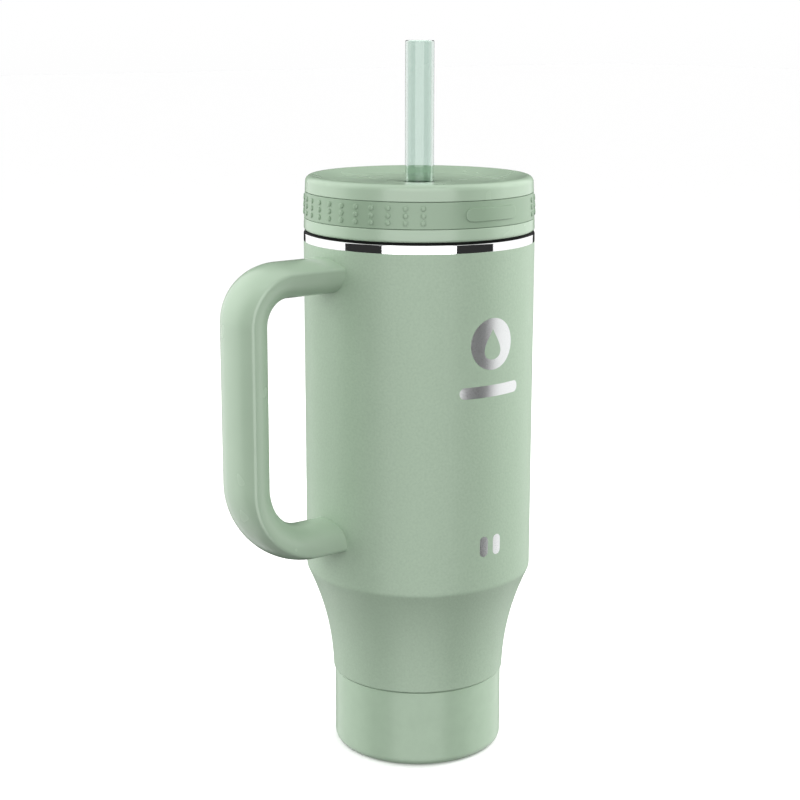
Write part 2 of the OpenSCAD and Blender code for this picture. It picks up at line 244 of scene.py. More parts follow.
@dataclass(frozen=True)
class Thread:
    """The ridge of a right-hand thread that fades at both ends.

    Over a quarter of a turn from either end its height grows from almost nothing, and its width
    from a share of itself, with the sine of the distance.
    """

    lead: float = 6.0
    depth: float = 1.3
    turns: float = 1.25
    root_w: float = 2.4
    crest_w: float = 1.0
    ease: float = 0.15
    crest_in: float = 0.1
    sunk: float = 0.2
    end_width: float = 0.4
    end_height: float = 0.02
    steps: int = 120

    def ridge(self, root: float, outward: bool, start_z: float) -> Mesh:
        """The ridge on a wall: at angle a its middle is at start_z + lead a / 360 degrees.

        Args:
            root: radius of the wall.
            outward: whether the ridge stands away from the axis.
            start_z: height of its start.
        Returns:
            The closed mesh, sunk a little into the wall.
        """
        a = np.linspace(0, 2 * np.pi * self.turns, int(self.steps * self.turns) + 1)[:, None]
        way = np.clip(np.minimum(a, a[-1] - a) / (np.pi / 2), self.end_height, 1)
        fade = np.sin(way * np.pi / 2)
        half = np.array([self.root_w / 2, self.crest_w / 2 + self.ease, self.crest_w / 2 - self.crest_in])
        across = np.concatenate([-half, half[::-1]])
        side = np.array([-self.sunk, self.depth - self.ease, self.depth])
        height = np.concatenate([side, side[::-1]])
        r = root + (1 if outward else -1) * np.where(height > 0, height * fade, height)
        z = start_z + self.lead * a / (2 * np.pi) + across * (self.end_width + (1 - self.end_width) * fade)
        return capped_sweep(np.stack([r * np.cos(a), r * np.sin(a), z], -1))


THREAD = Thread()


# ---------------------------------------------------------------- from arrays to pieces


def linked(name: str, data: bpy.types.ID) -> bpy.types.Object:
    """A new object with this data, in the scene."""
    made = bpy.data.objects.new(name, data)
    bpy.context.scene.collection.objects.link(made)
    return made


def closed_data(name: str, mesh: Mesh) -> bpy.types.Mesh:
    """Mesh data in metres, welded, with its faces turned outwards."""
    data = bpy.data.meshes.new(name)
    data.from_pydata((mesh.points * MM).tolist(), [], mesh.quads.tolist())
    work = bmesh.new()
    work.from_mesh(data)
    bmesh.ops.remove_doubles(work, verts=work.verts, dist=WELD)
    bmesh.ops.dissolve_degenerate(work, edges=work.edges, dist=WELD / 20)
    bmesh.ops.recalc_face_normals(work, faces=work.faces)
    work.to_mesh(data)
    work.free()
    return data


def smoothed(data: bpy.types.Mesh) -> None:
    """Shades mesh data smoothly, with its steep edges drawn sharp."""
    data.polygons.foreach_set("use_smooth", np.ones(len(data.polygons), bool))
    data.set_sharp_from_angle(angle=radians(SHARP))


def piece(name: str, mesh: Mesh, body: str, finish: "Finish",
          replaces: tuple[str, ...] = ()) -> bpy.types.Object:
    """Makes a Blender object from a mesh and dresses it.

    Args:
        name: the piece's name.
        mesh: its shape in millimetres.
        body: the CAD body that it moves with.
        finish: what it is made of.
        replaces: CAD nodes that it stands for.
    Returns:
        The object, at the origin, with its place in its mesh.
    """
    made = linked(name, closed_data(name, mesh))
    smoothed(made.data)
    made.data.materials.append(finish.material())
    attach(made, body)
    if replaces:
        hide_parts(*replaces)
    log.info("%s: %d faces, %s, on %s", name, len(made.data.polygons), finish.name, body)
    return made


def dress(node: str, finish: "Finish") -> None:
    """Puts a finish on a CAD node that stays as it is.

    Args:
        node: the CAD node's name.
        finish: what it is made of.
    """
    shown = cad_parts[node]
    if not shown.material_slots:
        shown.data.materials.append(None)
    shown.material_slots[0].material = finish.material()
    log.info("%s: CAD node, %s", node, finish.name)


# ---------------------------------------------------------------- finishes


def linear(colour: str) -> tuple[float, float, float, float]:
    """Turns an sRGB hex colour to linear light.

    Args:
        colour: six hex digits after a #.
    Returns:
        Red, green, blue and an alpha of 1.
    """
    c = np.array([int(colour[i:i + 2], 16) for i in (1, 3, 5)]) / 255
    c = np.where(c <= 0.04045, c / 12.92, ((c + 0.055) / 1.055) ** 2.4)
    return (*c.tolist(), 1.0)


def per_mm(size: float) -> float:
    """Texture scale, in repeats a metre, of a pattern whose features are size millimetres across."""
    return 1 / (size * MM)


def add(tree: Tree, kind: str, settings: dict[str, object] | None = None,
        inputs: dict[str | int, object] | None = None) -> Node:
    """Adds a shader node with its settings and its sockets' values or links.

    Args:
        tree: the material's node tree.
        kind: the node's type name, without its leading ShaderNode.
        settings: values of the node's own properties.
        inputs: for each socket, by name or number, its value or the socket that feeds it.
    Returns:
        The node.
    """
    node = tree.nodes.new("ShaderNode" + kind)
    for key, value in (settings or {}).items():
        setattr(node, key, value)
    for key, value in (inputs or {}).items():
        if isinstance(value, Socket):
            tree.links.new(value, node.inputs[key])
        else:
            node.inputs[key].default_value = value
    return node


@dataclass(frozen=True)
class Finish:
    """A surface finish. Subclasses say how it was made and wire it up in shade."""

    name: str
    colour: str = "#808080"
    roughness: float = 0.5

    def material(self) -> bpy.types.Material:
        """The finish as a material, made once and shared."""
        made = bpy.data.materials.get(self.name)
        if made is None:
            made = bpy.data.materials.new(self.name)
            made.use_nodes = True
            made.diffuse_color = linear(self.colour)
            tree = made.node_tree
            tree.nodes.clear()
            shader = self.shade(tree)
            out = add(tree, "OutputMaterial")
            tree.links.new(shader.outputs[0], out.inputs["Surface"])
        return made

    def shade(self, tree: Tree) -> Node:
        """Wires the finish.

        Args:
            tree: the material's node tree.
        Returns:
            The shader that goes to the output.
        """
        raise NotImplementedError

    def skin(self, tree: Tree, colour: Socket, rough: float | Socket, normal: Socket | None = None,
             **levels: float) -> Node:
        """The principled shader.

        Args:
            tree: the material's node tree.
            colour: its base colour.
            rough: its roughness.
            normal: its bump, if it has one.
            levels: other sockets' values, with _ for a space in the socket's name.
        Returns:
            The shader.
        """
        inputs = {key.replace("_", " "): value for key, value in levels.items()}
        if normal is not None:
            inputs["Normal"] = normal
        return add(tree, "BsdfPrincipled", inputs={"Base Color": colour, "Roughness": rough, **inputs})

    def place(self, tree: Tree, stretch: tuple[float, float, float] | None = None) -> Socket:
        """Object coordinates in metres, stretched by a factor along each axis if one is given."""
        spot = add(tree, "TexCoord").outputs["Object"]
        if stretch is None:
            return spot
        return add(tree, "Mapping", inputs={"Vector": spot, "Scale": stretch}).outputs["Vector"]

    def noise(self, tree: Tree, size: float, detail: float = 2.0,
              where: Socket | None = None) -> Socket:
        """A noise whose grains are size millimetres across.

        Args:
            tree: the material's node tree.
            size: width of a grain.
            detail: finer octaves.
            where: coordinates other than the object's own.
        Returns:
            The noise value's socket.
        """
        return add(tree, "TexNoise", inputs={"Vector": where or self.place(tree), "Scale": per_mm(size),
                                             "Detail": detail, "Roughness": 0.55}).outputs["Fac"]

    def spread(self, tree: Tree, value: Socket, low: float, high: float) -> Socket:
        """Maps the middle of a noise's range to another range, in a straight line."""
        return add(tree, "MapRange", inputs={"Value": value, "From Min": 0.3, "From Max": 0.7, "To Min": low,
                                             "To Max": high}).outputs["Result"]

    def tinted(self, tree: Tree, value: Socket, amount: float) -> Socket:
        """The finish's colour, made lighter and darker by a noise."""
        base = np.array(linear(self.colour))
        low = tuple((base[:3] * (1 - amount)).tolist()) + (1.0,)
        high = tuple(np.clip(base[:3] * (1 + amount), 0, 1).tolist()) + (1.0,)
        mixed = add(tree, "Mix", {"data_type": "RGBA"}, {0: self.spread(tree, value, 0, 1), 6: low, 7: high})
        return mixed.outputs[2]

    def bump(self, tree: Tree, height: Socket, depth: float) -> Socket:
        """A bump whose full height is depth millimetres."""
        inputs = {"Height": height, "Distance": depth * MM, "Strength": 1.0}
        return add(tree, "Bump", inputs=inputs).outputs["Normal"]


@dataclass(frozen=True)
class PowderCoat(Finish):
    """Polyester powder, sprayed dry and baked on the steel.

    It levels to a fine orange peel, matt, with a faint mottle where the film is thicker. The
    real peel is about half a millimetre across and a hundredth deep; it is drawn coarser and
    deeper, as too fine a one wouldn't show.
    """

    peel: float = 1.0
    peel_depth: float = 0.08

    def shade(self, tree: Tree) -> Node:
        """Peel as a bump, mottle in the colour and the roughness."""
        fine = self.noise(tree, self.peel, 3)
        broad = self.noise(tree, 9, 2)
        rough = self.spread(tree, broad, self.roughness - 0.03, self.roughness + 0.04)
        return self.skin(tree, self.tinted(tree, fine, 0.05), rough,
                         self.bump(tree, fine, self.peel_depth), IOR=1.5, Specular_IOR_Level=0.5)


@dataclass(frozen=True)
class MouldedPlastic(Finish):
    """Polypropylene, injection moulded in a spark-eroded tool.

    The tool leaves a satin grain a few tenths of a millimetre across, and flow leaves slow,
    weak waves in the sheen.
    """

    grain: float = 0.3
    grain_depth: float = 0.004

    def shade(self, tree: Tree) -> Node:
        """Grain as a bump, flow in the roughness, a slight cloud in the colour."""
        grain = self.noise(tree, self.grain, 1)
        flow = self.noise(tree, 14, 1)
        rough = self.spread(tree, flow, self.roughness - 0.025, self.roughness + 0.025)
        return self.skin(tree, self.tinted(tree, flow, 0.012), rough,
                         self.bump(tree, grain, self.grain_depth), IOR=1.49, Specular_IOR_Level=0.6)


@dataclass(frozen=True)
class Elastomer(Finish):
    """Silicone or a soft thermoplastic, moulded.

    It is matt with a faint sheen at glancing angles, and holds a little dust in its pores.
    """

    sheen: float = 0.15
    specular: float = 0.5

    def shade(self, tree: Tree) -> Node:
        """Pores as a bump, dust in the colour."""
        pores = self.noise(tree, 0.4, 2)
        dust = self.noise(tree, 6, 4)
        rough = self.spread(tree, pores, self.roughness - 0.03, self.roughness + 0.03)
        return self.skin(tree, self.tinted(tree, dust, 0.03), rough, self.bump(tree, pores, 0.006),
                         IOR=1.43, Specular_IOR_Level=self.specular, Sheen_Weight=self.sheen,
                         Sheen_Roughness=0.4)


class Lay(Enum):
    """How a steel surface was finished."""

    POLISHED = "polished"
    TURNED = "turned"
    ETCHED = "etched"
    SHEET = "sheet"


@dataclass(frozen=True)
class Steel(Finish):
    """Stainless steel: polished to a mirror, turned in rings, laser etched or plain sheet.

    Polishing leaves hairlines that only show in highlights, turning and rolling leave a grain
    round the axis, and etching leaves a fine even frost.
    """

    lay: Lay = Lay.SHEET

    def shade(self, tree: Tree) -> Node:
        """A metal whose roughness and bump follow its lay."""
        sizes = {Lay.POLISHED: (0.8, 0.0, 0.01), Lay.TURNED: (0.25, 0.004, 0.06),
                 Lay.ETCHED: (0.2, 0.01, 0.05), Lay.SHEET: (1.5, 0.004, 0.05)}
        size, depth, vary = sizes[self.lay]
        where = self.place(tree, (0.02, 0.02, 1.0) if self.lay is Lay.TURNED else None)
        grain = self.noise(tree, size, 3, where)
        colour = self.tinted(tree, grain, 0.01 if self.lay is Lay.POLISHED else 0.04)
        rough = self.spread(tree, grain, max(self.roughness - vary, 0.0), self.roughness + vary)
        return self.skin(tree, colour, rough, self.bump(tree, grain, depth) if depth else None, Metallic=1.0)


@dataclass(frozen=True)
class CrumpledFoil(Finish):
    """Copper foil wrapped by hand round the inner vessel, with flat creases a few millimetres apart."""

    def shade(self, tree: Tree) -> Node:
        """Creases from cell edges as a bump."""
        cells = add(tree, "TexVoronoi", {"feature": "DISTANCE_TO_EDGE"},
                    {"Vector": self.place(tree), "Scale": per_mm(5)}).outputs["Distance"]
        return self.skin(tree, self.tinted(tree, self.noise(tree, 3), 0.06), self.roughness,
                         self.bump(tree, cells, 0.5), Metallic=1.0)


@dataclass(frozen=True)
class Sinter(Finish):
    """Pressed and sintered metal powder, dark and open-pored."""

    def shade(self, tree: Tree) -> Node:
        """Coarse pores in colour and bump."""
        grit = self.noise(tree, 0.3, 4)
        return self.skin(tree, self.tinted(tree, grit, 0.3), self.roughness,
                         self.bump(tree, grit, 0.05), Metallic=0.6)


@dataclass(frozen=True)
class ClearPlastic(Finish):
    """Tinted copolyester, extruded as a tube.

    It is clear with a polished skin, and drawing leaves faint long lines along the tube, which
    change its tint and its skin a little.
    """

    def shade(self, tree: Tree) -> Node:
        """A clear dielectric with draw lines in its colour and its bump."""
        lines = self.noise(tree, 0.6, 2, self.place(tree, (1.0, 1.0, 0.01)))
        return self.skin(tree, self.tinted(tree, lines, 0.01), self.roughness,
                         self.bump(tree, lines, 0.002), Transmission_Weight=1.0, IOR=1.5)


@dataclass(frozen=True)
class Paper(Finish):
    """The pale sweep that the tumbler stands on."""

    def shade(self, tree: Tree) -> Node:
        """Matt, with a slow unevenness."""
        return self.skin(tree, self.tinted(tree, self.noise(tree, 60), 0.004), self.roughness,
                         Specular_IOR_Level=0.1)


PAINT = PowderCoat("powder_coat_sage", "#96AB95", 0.42)
PLASTIC = MouldedPlastic("moulded_polypropylene_sage", "#9FB49E", 0.25)
GRIP = MouldedPlastic("moulded_grip_sage", "#859C84", 0.36)
BOOT = Elastomer("boot_elastomer_sage", "#9DB39C", 0.32, 0.03)
# near-black, with no sheen and almost no specular: the gasket is real, but its black is painted shadow of
# the gap between the lid and the steel rim
GASKET_PAINTED_GAP_SHADOW = Elastomer("gasket_silicone_painted_gap_shadow", "#060706", 0.6, 0.0, 0.1)
PALE_SEAL = Elastomer("wiper_silicone_pale", "#C5D2C4", 0.5)
MIRROR = Steel("mirror_polished_steel", "#FBFBFC", 0.04, Lay.POLISHED)
INSIDE = Steel("turned_steel", "#C9CBCC", 0.28, Lay.TURNED)
ETCH = Steel("laser_etched_steel", "#E6E8E8", 0.3, Lay.ETCHED)
SHEET = Steel("plain_sheet_steel", "#B9BBBD", 0.35, Lay.SHEET)
FOIL = CrumpledFoil("copper_foil", "#D9916B", 0.25)
PILL = Sinter("sintered_getter", "#3A3A3C", 0.7)
CLEAR = ClearPlastic("clear_green_copolyester", "#DCE8E2", 0.01)
SWEEP = Paper("pale_paper_sweep", "#FFFFFF", 0.8)


# ---------------------------------------------------------------- cup


@dataclass
class Cup:
    """The double-walled steel cup: painted shell, polished lip, and what is sealed inside."""

    shoulder_z: float = 83.5
    shoulder_fillet: float = 5.0
    waist_r: float = 118.7
    neck_r: float = 38.45
    shell_wall: float = 0.5
    wall: float = 3.8
    seam_z: float = 34.85
    seam_round: float = 0.7
    foot_r: float = 35.7
    rim_fillet: float = 0.6
    lip_depth: float = 3.0
    lip_step: float = 0.45
    floor_fillet: float = 7.5
    thread_z: float = 217.4

    def __post_init__(self) -> None:
        """Reads the sizes that the frame holds."""
        low, high = span("outer_shell")
        self.body_r = high[0]
        self.paint_z = high[2]
        self.base_z = low[2]
        low, high = span("inner_vessel")
        self.rim_z = high[2]
        self.under_z = low[2]
        self.floor_z = self.under_z + self.shell_wall

    def waist(self, inset: float, end_z: float, fillet: float) -> np.ndarray:
        """The side of a wall set in by inset: straight, a fillet at the shoulder, then the waist.

        The waist is an arc through the shoulder's crease and the neck, and its middle lies
        outside the cup, on the line square to the chord through the chord's middle.

        Args:
            inset: distance inside the painted surface.
            end_z: height where the waist ends.
            fillet: rounding of the crease.
        Returns:
            Points from just above the crease down to end_z.
        """
        top, end = np.array([self.body_r, self.shoulder_z]), np.array([self.neck_r, self.seam_z])
        chord = end - top
        half = np.linalg.norm(chord) / 2
        out = np.array([-chord[1], chord[0]]) / (2 * half)
        centre = (top + end) / 2 + out * sqrt(self.waist_r ** 2 - half ** 2)
        radius = self.waist_r + inset
        crease = np.arccos((centre[0] - self.body_r + inset) / radius)
        crease_z = centre[1] + radius * sin(crease)
        run = fillet * np.tan(crease / 2)
        shoulder = arc((self.body_r - inset - fillet, crease_z + run), fillet, 0, -np.degrees(crease), 10)
        first, last = crease - run / radius, np.arcsin((end_z - centre[1]) / radius)
        angle = np.linspace(first, last, 48)[1:]
        bow = np.stack([centre[0] - radius * np.cos(angle), centre[1] + radius * np.sin(angle)], 1)
        return np.vstack([shoulder, bow])

    def shell(self) -> Mesh:
        """The painted outer wall with its stepped foot."""
        out = self.waist(0, self.seam_z + self.seam_round + 0.05, self.shoulder_fillet)
        r, t, edge = self.foot_r, self.shell_wall, 0.08
        foot = rounded([(*out[-1], 0), (self.neck_r + 0.01, self.seam_z, self.seam_round),
                        (r, self.seam_z, 0.3), (r, self.base_z, 0.2), (r - t, self.base_z, 0.2),
                        (r - t, self.seam_z + t, 0)], closed=False)[1:]
        back = self.waist(t, self.seam_z + t, self.shoulder_fillet - t)
        top = np.array([[self.body_r - t, self.paint_z], [self.body_r - edge, self.paint_z],
                        [self.body_r, self.paint_z - edge]])
        outline = without_repeats(np.vstack([top, out, foot, back[::-1]]), True)
        return lathe(supported(outline, longest=2.5), around=288)

    def lip(self) -> Mesh:
        """The polished band and the rolled rim, down to where the mouth's side begins."""
        r, b, top, low = self.body_r, self.body_r - self.wall, self.rim_z, self.paint_z + 0.02
        back, end, under = b + self.lip_step, top - self.lip_depth, top - 0.6
        inner = r - self.shell_wall
        outline = rounded([(r, low, 0.05), (r, top, self.rim_fillet), (b, top, 0.6), (b, end, 0),
                           (back, end, 0), (back, under, 0.3), (inner, under, 0.3), (inner, low, 0.05)],
                          steps=10)
        return lathe(supported(outline, longest=1.5), around=288)

    def vessel(self) -> Mesh:
        """The inner wall with its rounded floor, and the thread in its mouth."""
        top_z = self.rim_z - self.lip_depth
        out_in = self.wall - self.shell_wall
        parts = []
        for inset, floor, corner in ((self.wall, self.floor_z, self.floor_fillet),
                                     (out_in, self.under_z, self.floor_fillet + self.shell_wall)):
            side = self.waist(inset, self.seam_z + 6, max(self.shoulder_fillet - inset, 0.5))
            r = self.foot_r - inset
            foot = rounded([(*side[-1], 0), (r, self.seam_z - 2, 6), (r, floor, corner), (0, floor, 0)],
                           closed=False, steps=12)[1:]
            parts.append(np.vstack([[[self.body_r - inset, top_z]], side, foot]))
        outline = supported(np.vstack([parts[1][::-1], parts[0]]), closed=False)
        turned = lathe(outline, closed=False, around=192)
        return turned + THREAD.ridge(self.body_r - self.wall, False, self.thread_z)

    def build(self) -> None:
        """Makes the cup's pieces and dresses its hidden ones."""
        piece("shell_painted", self.shell(), "cup", PAINT, ("outer_shell",))
        piece("vessel_inside", self.vessel(), "cup", INSIDE, ("inner_vessel",))
        piece("vessel_lip", self.lip(), "cup", MIRROR, ("inner_vessel",))
        for node, finish in (("shell_base", SHEET), ("vacuum_seal", SHEET), ("getter", PILL),
                             ("radiation_shield", FOIL)):
            dress(node, finish)
        Marks(self.body_r).build()


@dataclass
class Marks:
    """Plain etched marks on the front: a disc with a drop left out, a bar, and two short bars low down."""

    body_r: float
    disc_r: float = 11.0
    drop_r: float = 6.6
    disc_z: float = 191.0
    bar: tuple[float, float, float] = (32.0, 5.0, 171.0)
    low_bar: tuple[float, float, float] = (4.2, 9.0, 103.0)
    low_pitch: float = 7.0
    half_t: float = 0.03

    def on_body(self, flat: Mesh, across: float, z: float) -> Mesh:
        """Wraps a flat mesh round the body: x becomes an arc length from the front, z a height off the wall.

        Args:
            flat: the mesh, lying on its x and y.
            across: arc length of its middle from the front.
            z: height of its middle.
        Returns:
            The wrapped mesh.
        """
        u, v, h = flat.points.T
        angle = (u + across) / self.body_r - pi / 2
        r = self.body_r + h
        return Mesh(np.stack([r * np.cos(angle), r * np.sin(angle), v + z], 1), flat.quads)

    def plate(self, outer: np.ndarray, inner: np.ndarray) -> Mesh:
        """A thin plate between two outlines with as many points, in even shares of the way between them.

        Args:
            outer: the outside edge.
            inner: the inside edge, which may be a single repeated point.
        Returns:
            The closed mesh, its upper side first.
        """
        way = np.linspace(0, 1, 21)
        share = np.concatenate([way, way[::-1]])[:, None, None]
        height = np.repeat([self.half_t, -self.half_t], len(way))[:, None, None]
        flat = (1 - share) * outer + share * inner
        points = np.concatenate([flat, np.broadcast_to(height, (len(share), len(outer), 1))], 2)
        return Mesh(points.reshape(-1, 3), grid_faces(len(share), len(outer), True, True))

    def disc(self) -> Mesh:
        """A disc round a drop.

        The drop's height is the cosine of an angle, and its width the sine times a narrowing,
        which is the sine of half the angle to the power 1.6.
        """
        a = np.linspace(0, 2 * pi, 96, endpoint=False)
        narrowing = np.abs(np.sin(a / 2)) ** 1.6
        drop = self.drop_r * np.stack([0.95 * np.sin(a) * narrowing, np.cos(a)], 1)
        return self.plate(self.disc_r * np.stack([np.sin(a), np.cos(a)], 1), drop)

    def rounded_bar(self, width: float, height: float) -> Mesh:
        """A bar with round ends."""
        x, y = width / 2, height / 2
        outline = supported(box_outline(-x, x, -y, y, min(x, y) - 0.01), longest=1.0)
        return self.plate(outline, 0 * outline)

    def build(self) -> None:
        """Makes the marks as three pieces on the cup."""
        piece("mark_disc", self.on_body(self.disc(), 0, self.disc_z), "cup", ETCH)
        width, height, z = self.bar
        piece("mark_bar", self.on_body(self.rounded_bar(width, height), 0, z), "cup", ETCH)
        width, height, z = self.low_bar
        flat = self.rounded_bar(width, height)
        pair = self.on_body(flat, -self.low_pitch / 2, z) + self.on_body(flat, self.low_pitch / 2, z)
        piece("mark_low_bars", pair, "cup", ETCH)


@dataclass
class Boot:
    """The soft boot on the foot, with three grooves underneath."""

    wall: float = 2.0
    fillet: float = 3.5
    top_round: float = 0.8
    groove_w: float = 1.2
    groove_depth: float = 0.5
    groove_pitch: float = 2.4

    def outline(self) -> np.ndarray:
        """From the middle of the underside, across the grooves, up the side and over to the inner floor."""
        low, high = span("base_boot")
        r, top = high[0], high[2]
        floor = span("outer_shell")[0][2] - 0.05
        start = 2 * r / 3
        groove = ((0, 0), (0, self.groove_depth), (self.groove_w, self.groove_depth), (self.groove_w, 0))
        grooves = [(start + k * self.groove_pitch + dx, z, 0.2) for k in range(3) for dx, z in groove]
        inner = r - self.wall
        return rounded([(0, 0, 0), *grooves, (r, 0, self.fillet), (r, top, self.top_round),
                        (inner, top, self.top_round), (inner, floor, 0.6), (0, floor, 0)], closed=False)

    def build(self) -> None:
        """Makes the boot."""
        mesh = lathe(supported(self.outline(), closed=False), closed=False)
        piece("boot_soft", mesh, "cup", BOOT, ("base_boot",))


# ---------------------------------------------------------------- handle


def applied(made: bpy.types.Object, other: Mesh, operation: str) -> None:
    """Cuts another mesh out of a piece, or joins it on, for good.

    Args:
        made: the piece.
        other: the closed mesh to cut with or to join.
        operation: DIFFERENCE or UNION.
    """
    tool = linked("tool", closed_data("tool", other))
    step = made.modifiers.new("step", "BOOLEAN")
    step.operation, step.solver, step.object = operation, "EXACT", tool
    bpy.context.view_layer.update()
    result = bpy.data.meshes.new_from_object(made.evaluated_get(bpy.context.evaluated_depsgraph_get()))
    made.modifiers.clear()
    old, made.data = made.data, result
    bpy.data.meshes.remove(old)
    bpy.data.objects.remove(tool)
    smoothed(result)


@dataclass
class Handle:
    """The handle: a crowned outer half with a rounded lip, a hollow grip half, and two screws from below.

    The crease between the halves runs out along the upper arm, round a corner, down, round
    a wider corner and back along the lower arm. Both arms end on the body's cylinder.
    """

    crown_h: float = 3.5
    corner_top: float = 21.5
    corner_low: float = 32.4
    wall: float = 2.2
    power: float = 2.44
    lip_r: float = 1.6
    lip_t: float = 0.95
    depth_in: float = 11.44
    screw_reach: float = 7.5
    tang_t: float = 5.0
    head_r: float = 3.4
    head_t: float = 1.6
    sink: float = 0.4
    shank_r: float = 1.95
    boss_r: float = 4.6
    slip: float = 0.05
    across: int = 48

    def __post_init__(self) -> None:
        """Reads the sizes that the frame holds."""
        low, high = span("handle_outer")
        self.crease = -low[0] - self.crown_h
        self.top_z = high[2] - self.crown_h
        self.low_z = low[2] + self.crown_h
        self.half_w = high[1]
        shell_r = span("outer_shell")[1][0]
        self.body_r = shell_r + 0.02
        self.screw_x = shell_r + self.screw_reach

    def route(self) -> tuple[np.ndarray, np.ndarray, np.ndarray]:
        """Stations along the crease.

        Returns:
            Points (distance from the axis, height), outward normals, and for each station how
            far it is drawn to the body, from 1 at the arm's end to 0 where the corner starts.
        """
        top, low, r = self.corner_top, self.corner_low, self.body_r
        pull = np.linspace(1, 0, 13)[:-1]
        reach_t, reach_l = self.crease - top, self.crease - low
        arm = len(pull)
        upper = np.stack([reach_t + (r - reach_t) * pull, np.full(arm, self.top_z)], 1)
        lower = np.stack([reach_l + (r - reach_l) * pull[::-1], np.full(arm, self.low_z)], 1)
        bend_t = np.radians(np.linspace(90, 0, 33))
        bend_l = np.radians(np.linspace(0, -90, 41))
        turn_t = np.stack([np.cos(bend_t), np.sin(bend_t)], 1)
        turn_l = np.stack([np.cos(bend_l), np.sin(bend_l)], 1)
        down = np.linspace(self.top_z - top, self.low_z + low, 24)[1:-1]
        run = np.stack([np.full(len(down), self.crease), down], 1)
        points = np.vstack([upper, turn_t * top + [reach_t, self.top_z - top], run,
                            turn_l * low + [reach_l, self.low_z + low], lower])
        normals = np.vstack([np.tile([0.0, 1.0], (arm, 1)), turn_t, np.tile([1.0, 0.0], (len(down), 1)),
                             turn_l, np.tile([0.0, -1.0], (arm, 1))])
        return points, normals, np.concatenate([pull, np.zeros(len(points) - 2 * arm), pull[::-1]])

    def carried(self, section: np.ndarray) -> Mesh:
        """Carries a section (across, out) along the crease, with each arm's end on the cylinder.

        At the body a point that stands w off the middle is drawn in from the body's radius to the
        root of the radius squared less w squared.

        Args:
            section: the closed section, its second half facing its first.
        Returns:
            The closed mesh, with the handle along -X.
        """
        points, normals, pull = self.route()
        w, out = section.T
        inset = np.sqrt(self.body_r ** 2 - w ** 2) - self.body_r
        rho = points[:, :1] + normals[:, :1] * out + pull[:, None] * inset
        z = points[:, 1:] + normals[:, 1:] * out
        return capped_sweep(np.stack([-rho, np.broadcast_to(w, rho.shape), z], -1))

    def crown(self) -> np.ndarray:
        """Section of the outer half: a shallow arc between two rounded lips over a flat underside."""
        w, h = self.half_w, self.crown_h
        r = (w * w + h * h) / (2 * h)
        edge = asin(w / r)
        a = np.linspace(-edge, edge, 25)
        bow = np.stack([r * np.sin(a), h - r + r * np.cos(a), np.zeros(25)], 1)
        bow[[0, -1], 2] = self.lip_r
        corners = [(-w, -self.lip_t, 0), *bow.tolist(), (w, -self.lip_t, 0)]
        over = rounded(corners, closed=False, steps=6)
        under = np.stack([np.linspace(w, -w, len(over)), np.full(len(over), -self.lip_t - 0.005)], 1)
        return np.vstack([over, under])

    def grip(self) -> np.ndarray:
        """Section of the hollow inner half: two halves of superellipses, a wall's thickness apart."""
        halves = []
        for t in (0.0, self.wall):
            w, d = self.half_w - t, self.depth_in - t
            e = 2 / self.power
            start = acos(((self.lip_t + 0.01) / d) ** (1 / e))
            a = np.linspace(-start, start, self.across)
            halves.append(np.stack([w * np.sign(a) * np.abs(np.sin(a)) ** e, -d * np.cos(a) ** e], 1))
        return np.vstack([halves[0], halves[1][::-1]])

    def screw_hole(self, skin_z: float, top_z: float) -> Mesh:
        """A stepped cutter: the head's counterbore from below the skin, then the shank's hole."""
        seat = skin_z + self.sink + self.head_t
        wide, narrow = self.head_r + self.slip, self.shank_r + 2 * self.slip
        start = skin_z - 3
        return self.shifted(lathe(np.array([[0, start], [wide, start], [wide, seat], [narrow, seat],
                                            [narrow, top_z], [0, top_z]]), closed=False, around=64))

    def post(self, low: float, high: float) -> Mesh:
        """The round post that a screw goes through, between two heights."""
        r = self.boss_r
        outline = np.array([[0, low], [r, low], [r, high], [0, high]])
        return self.shifted(lathe(outline, closed=False, around=64))

    def shifted(self, mesh: Mesh) -> Mesh:
        """The mesh, moved from the axis to the screws."""
        return Mesh(mesh.points - [self.screw_x, 0, 0], mesh.quads)

    def screw(self, name: str, skin_z: float, end_z: float) -> None:
        """Makes a pan-head screw with a hexagonal socket, its head just inside the skin.

        The socket's wall stands off the axis by its inradius over the cosine of the angle from
        the middle of the nearest flat.

        Args:
            name: the piece's name.
            skin_z: height of the handle's underside there.
            end_z: height of the screw's end.
        """
        head = skin_z + self.sink
        top = head + self.head_t
        socket_r, depth = 1.25, 1.2
        outline = rounded([(0, head + depth, 0), (socket_r, head + depth, 0.02), (socket_r, head, 0.15),
                           (self.head_r, head, 0.5), (self.head_r, top, 0.1), (self.shank_r, top, 0.1),
                           (self.shank_r, end_z, 0.3), (0, end_z, 0)], closed=False, steps=4)
        turned = lathe(supported(outline, closed=False, longest=1.0), closed=False, around=72)
        x, y, z = turned.points.T
        r = np.hypot(x, y)
        flat = (np.arctan2(y, x) + pi / 6) % (pi / 3) - pi / 6
        hexed = np.where((r < socket_r + 0.16) & (z < head + depth + 0.01), 1 / np.cos(flat), 1)
        shaped = Mesh(np.stack([x * hexed, y * hexed, z], 1), turned.quads)
        piece(name, self.shifted(shaped), "cup", SHEET, ("handle_screws",))

